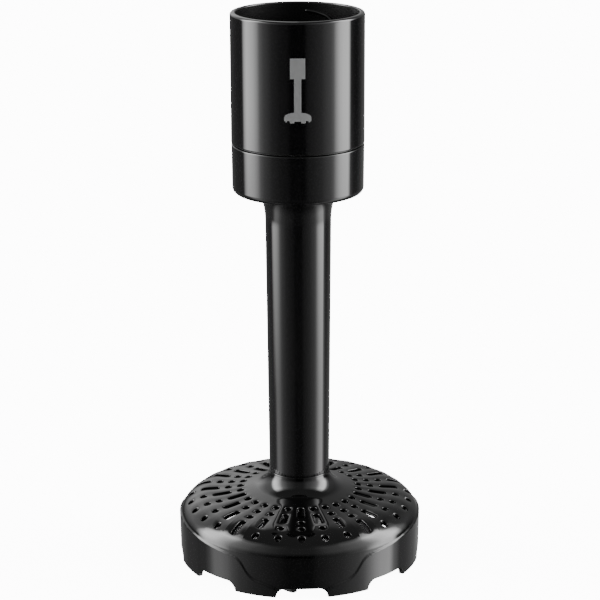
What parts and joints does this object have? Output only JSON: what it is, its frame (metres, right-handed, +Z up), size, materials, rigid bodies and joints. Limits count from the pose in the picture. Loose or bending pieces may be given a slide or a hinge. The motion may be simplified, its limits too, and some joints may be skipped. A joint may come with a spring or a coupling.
{
  "type": "hand blender masher attachment",
  "caption": "Potato-masher attachment for a hand blender: socketed drive collar with a planetary gearbox, twist-locked on a cup and stem, with a perforated notched foot and a rotating paddle.",
  "frame": {"origin": "middle of the foot's rim, on the surface that the attachment stands on", "axes": "+Z up along the spin axis, towards the socket for the motor handle; -Y is the front, with the printed symbol"},
  "size_m": [0.113, 0.113, 0.2567],
  "materials": {
    "gloss_black": "high gloss moulded, black",
    "satin_black": "semi-gloss moulded, black",
    "inner_black": "satin moulded, black",
    "gear_plastic": "natural acetal",
    "steel": "turned stainless",
    "bronze": "sintered bronze",
    "seal_rubber": "moulded"
  },
  "bodies": {
    "leg_unit": {"stem": "gloss_black", "cup": "gloss_black", "masher_foot": "satin_black", "upper_bush": "bronze", "lower_bush": "bronze", "shaft_seal": "seal_rubber"},
    "gear_unit": {"drive_collar": "gloss_black", "socket_floor": "inner_black", "input_bush": "bronze", "input_seal": "seal_rubber", "gearbox_base": "inner_black", "gearbox_screws": "steel", "ring_gear": "gear_plastic"},
    "input": {"input_shaft": "steel", "input_coupling": "inner_black", "sun_gear_one": "steel"},
    "carrier_one": {"first_carrier": "gear_plastic", "planet_pins_one": "steel", "sun_gear_two": "gear_plastic"},
    "output": {"second_carrier": "gear_plastic", "planet_pins_two": "steel", "drive_shaft": "steel", "shaft_clip": "steel"},
    "paddle_unit": {"paddle": "inner_black", "paddle_grip_ring": "seal_rubber"},
    "planet_one_a": {"planet_one_a": "gear_plastic"},
    "planet_one_b": {"planet_one_b": "gear_plastic"},
    "planet_one_c": {"planet_one_c": "gear_plastic"},
    "planet_two_a": {"planet_two_a": "gear_plastic"},
    "planet_two_b": {"planet_two_b": "gear_plastic"},
    "planet_two_c": {"planet_two_c": "gear_plastic"}
  },
  "joints": [
    {"name": "lock_twist", "type": "hinge", "parent": "leg_unit", "child": "gear_unit", "pos_m": [0, 0, 0.2], "axis": [0, 0, 1], "range_deg": [0, 25]},
    {"name": "output_spin", "type": "hinge", "parent": "gear_unit", "child": "output", "pos_m": [0, 0, 0.2], "axis": [0, 0, 1], "continuous": true},
    {"name": "input_spin", "type": "hinge", "parent": "gear_unit", "child": "input", "pos_m": [0, 0, 0.23], "axis": [0, 0, 1], "continuous": true},
    {"name": "carrier_one_spin", "type": "hinge", "parent": "gear_unit", "child": "carrier_one", "pos_m": [0, 0, 0.212], "axis": [0, 0, 1], "continuous": true},
    {"name": "paddle_pull", "type": "slide", "parent": "output", "child": "paddle_unit", "axis": [0, 0, -1], "range_m": [0, 0.035]},
    {"name": "planet_one_a_spin", "type": "hinge", "parent": "carrier_one", "child": "planet_one_a", "pos_m": [0.0126, 0, 0.217], "axis": [0, 0, 1], "continuous": true},
    {"name": "planet_one_b_spin", "type": "hinge", "parent": "carrier_one", "child": "planet_one_b", "pos_m": [-0.0063, 0.01091, 0.217], "axis": [0, 0, 1], "continuous": true},
    {"name": "planet_one_c_spin", "type": "hinge", "parent": "carrier_one", "child": "planet_one_c", "pos_m": [-0.0063, -0.01091, 0.217], "axis": [0, 0, 1], "continuous": true},
    {"name": "planet_two_a_spin", "type": "hinge", "parent": "output", "child": "planet_two_a", "pos_m": [0.0126, 0, 0.2075], "axis": [0, 0, 1], "continuous": true},
    {"name": "planet_two_b_spin", "type": "hinge", "parent": "output", "child": "planet_two_b", "pos_m": [-0.0063, 0.01091, 0.2075], "axis": [0, 0, 1], "continuous": true},
    {"name": "planet_two_c_spin", "type": "hinge", "parent": "output", "child": "planet_two_c", "pos_m": [-0.0063, -0.01091, 0.2075], "axis": [0, 0, 1], "continuous": true}
  ],
  "couplings": [
    {"joint": "input_spin", "follows": "output_spin", "ratio": 16},
    {"joint": "carrier_one_spin", "follows": "output_spin", "ratio": 4},
    {"joint": "planet_one_a_spin", "follows": "output_spin", "ratio": -12},
    {"joint": "planet_one_b_spin", "follows": "output_spin", "ratio": -12},
    {"joint": "planet_one_c_spin", "follows": "output_spin", "ratio": -12},
    {"joint": "planet_two_a_spin", "follows": "output_spin", "ratio": -3},
    {"joint": "planet_two_b_spin", "follows": "output_spin", "ratio": -3},
    {"joint": "planet_two_c_spin", "follows": "output_spin", "ratio": -3}
  ]
}
